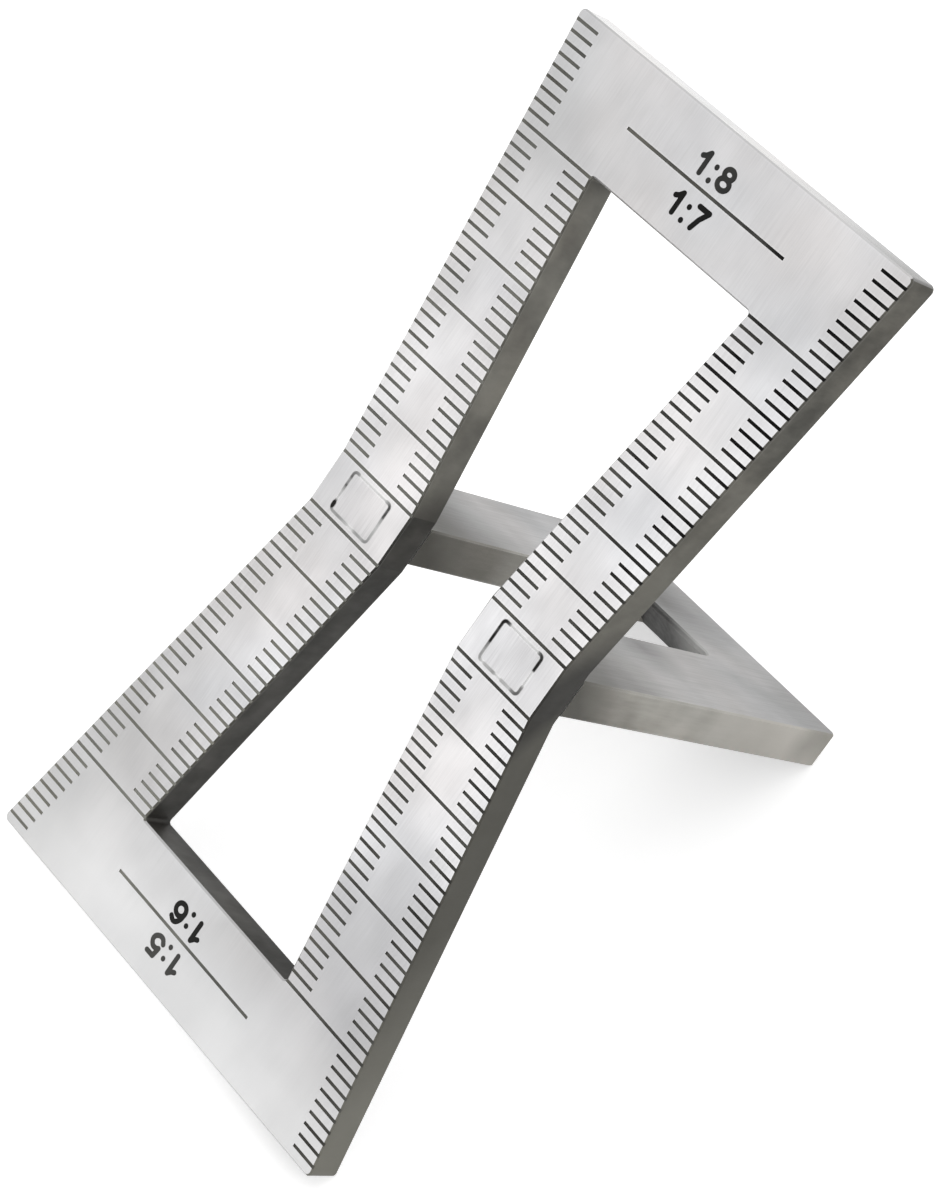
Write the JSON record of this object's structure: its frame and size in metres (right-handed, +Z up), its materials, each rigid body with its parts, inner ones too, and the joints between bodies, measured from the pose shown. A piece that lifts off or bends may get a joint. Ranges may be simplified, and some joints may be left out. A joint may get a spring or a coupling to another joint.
{
  "type": "dovetail marker",
  "caption": "Waisted steel marking plate with sloping graduated edges and a central window, tenoned at its neck to a flat U-shaped fence frame at a right angle.",
  "frame": {"origin": "on the floor, under the middle of the footprint", "axes": "+X across the marker, the graduated front leans back and faces -Y and upwards, +Z up"},
  "size_m": [0.0452, 0.0632, 0.0613],
  "materials": {
    "plate_steel": "brushed along the plate",
    "frame_steel": "brushed along the arms"
  },
  "bodies": {
    "root": {"marking_plate": "plate_steel", "fence_frame": "frame_steel"}
  },
  "joints": []
}
